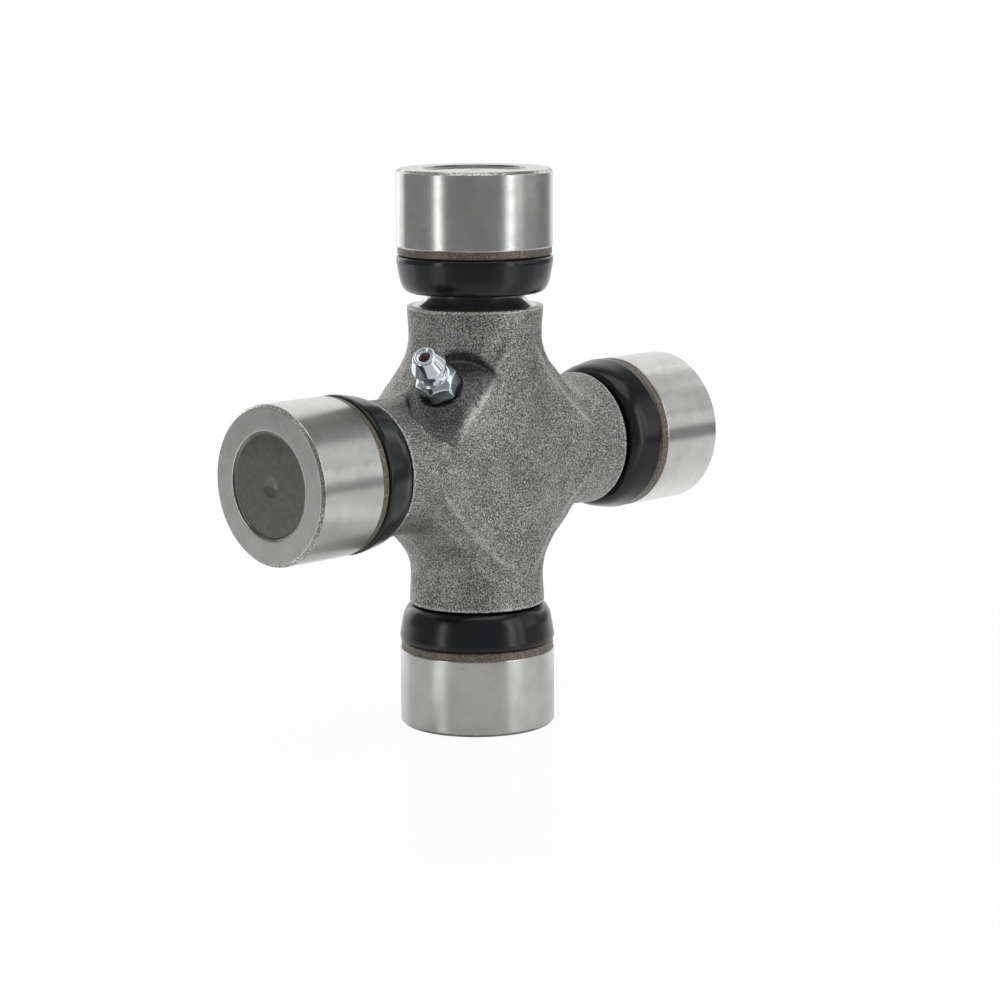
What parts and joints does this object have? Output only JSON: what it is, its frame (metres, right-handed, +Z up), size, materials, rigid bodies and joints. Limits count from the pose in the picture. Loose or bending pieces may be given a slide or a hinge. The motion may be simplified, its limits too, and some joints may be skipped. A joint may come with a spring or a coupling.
{
  "type": "universal joint cross",
  "caption": "Forged spider with roller bearing cups on its arms and a grease nipple, joining two shaft yokes that turn at an angle.",
  "frame": {"origin": "centre of the cross, where the two arm axes meet", "axes": "+Z up the top arm, whose cup stands a little off its seat, as the right one does; +X along the right arm; -Y towards the side the grease nipple leans to"},
  "size_m": [0.1074, 0.0302, 0.1086],
  "materials": {
    "forged_steel": "shot-blasted forging, matt",
    "ground_steel": "ground, bright",
    "needle_steel": "polished",
    "nylon": "natural nylon",
    "seal_rubber": "moulded",
    "guard_rubber": "smooth, glossy black",
    "zinc_plated_steel": "bright zinc",
    "red_ball": "dark red lacquer",
    "spring_steel": "drawn wire"
  },
  "bodies": {
    "cross": {"cross_body": "forged_steel", "grease_nipple": "zinc_plated_steel", "nipple_spring": "spring_steel"},
    "check_ball": {"nipple_ball": "red_ball"},
    "top_carrier": {"top_thrust_washer": "nylon"},
    "top_cup": {"top_bearing_cup": "ground_steel", "top_lip_seal": "seal_rubber", "top_dust_guard": "guard_rubber"},
    "top_needles": {"top_needle_rollers": "needle_steel"},
    "right_carrier": {"right_thrust_washer": "nylon"},
    "right_cup": {"right_bearing_cup": "ground_steel", "right_lip_seal": "seal_rubber", "right_dust_guard": "guard_rubber"},
    "right_needles": {"right_needle_rollers": "needle_steel"},
    "bottom_carrier": {"bottom_thrust_washer": "nylon"},
    "bottom_cup": {"bottom_bearing_cup": "ground_steel", "bottom_lip_seal": "seal_rubber", "bottom_dust_guard": "guard_rubber"},
    "bottom_needles": {"bottom_needle_rollers": "needle_steel"},
    "left_carrier": {"left_thrust_washer": "nylon"},
    "left_cup": {"left_bearing_cup": "ground_steel", "left_lip_seal": "seal_rubber", "left_dust_guard": "guard_rubber"},
    "left_needles": {"left_needle_rollers": "needle_steel"}
  },
  "joints": [
    {"name": "top_pull", "type": "slide", "parent": "cross", "child": "top_carrier", "axis": [0, 0, 1], "range_m": [-0.00225, 0.026]},
    {"name": "top_spin", "type": "hinge", "parent": "top_carrier", "child": "top_cup", "pos_m": [0, 0, 0.04725], "axis": [0, 0, 1], "continuous": true},
    {"name": "top_needle_orbit", "type": "hinge", "parent": "top_carrier", "child": "top_needles", "pos_m": [0, 0, 0.04725], "axis": [0, 0, 1], "continuous": true},
    {"name": "right_pull", "type": "slide", "parent": "cross", "child": "right_carrier", "axis": [1, 0, 0], "range_m": [-0.00105, 0.026]},
    {"name": "right_spin", "type": "hinge", "parent": "right_carrier", "child": "right_cup", "pos_m": [0.04605, 0, 0], "axis": [1, 0, 0], "continuous": true},
    {"name": "right_needle_orbit", "type": "hinge", "parent": "right_carrier", "child": "right_needles", "pos_m": [0.04605, 0, 0], "axis": [1, 0, 0], "continuous": true},
    {"name": "bottom_pull", "type": "slide", "parent": "cross", "child": "bottom_carrier", "axis": [0, 0, -1], "range_m": [0, 0.026]},
    {"name": "bottom_spin", "type": "hinge", "parent": "bottom_carrier", "child": "bottom_cup", "pos_m": [0, 0, -0.045], "axis": [0, 0, -1], "continuous": true},
    {"name": "bottom_needle_orbit", "type": "hinge", "parent": "bottom_carrier", "child": "bottom_needles", "pos_m": [0, 0, -0.045], "axis": [0, 0, -1], "continuous": true},
    {"name": "left_pull", "type": "slide", "parent": "cross", "child": "left_carrier", "axis": [-1, 0, 0], "range_m": [0, 0.026]},
    {"name": "left_spin", "type": "hinge", "parent": "left_carrier", "child": "left_cup", "pos_m": [-0.045, 0, 0], "axis": [-1, 0, 0], "continuous": true},
    {"name": "left_needle_orbit", "type": "hinge", "parent": "left_carrier", "child": "left_needles", "pos_m": [-0.045, 0, 0], "axis": [-1, 0, 0], "continuous": true},
    {"name": "ball_press", "type": "slide", "parent": "cross", "child": "check_ball", "axis": [0.682, 0.2639, -0.682], "range_m": [0, 0.0006], "stiffness_N_per_m": 400, "springref_m": -0.001, "deforming": ["nipple_spring"]}
  ],
  "couplings": [
    {"joint": "top_needle_orbit", "follows": "top_spin", "ratio": 0.556},
    {"joint": "right_needle_orbit", "follows": "right_spin", "ratio": 0.556},
    {"joint": "bottom_needle_orbit", "follows": "bottom_spin", "ratio": 0.556},
    {"joint": "left_needle_orbit", "follows": "left_spin", "ratio": 0.556}
  ]
}
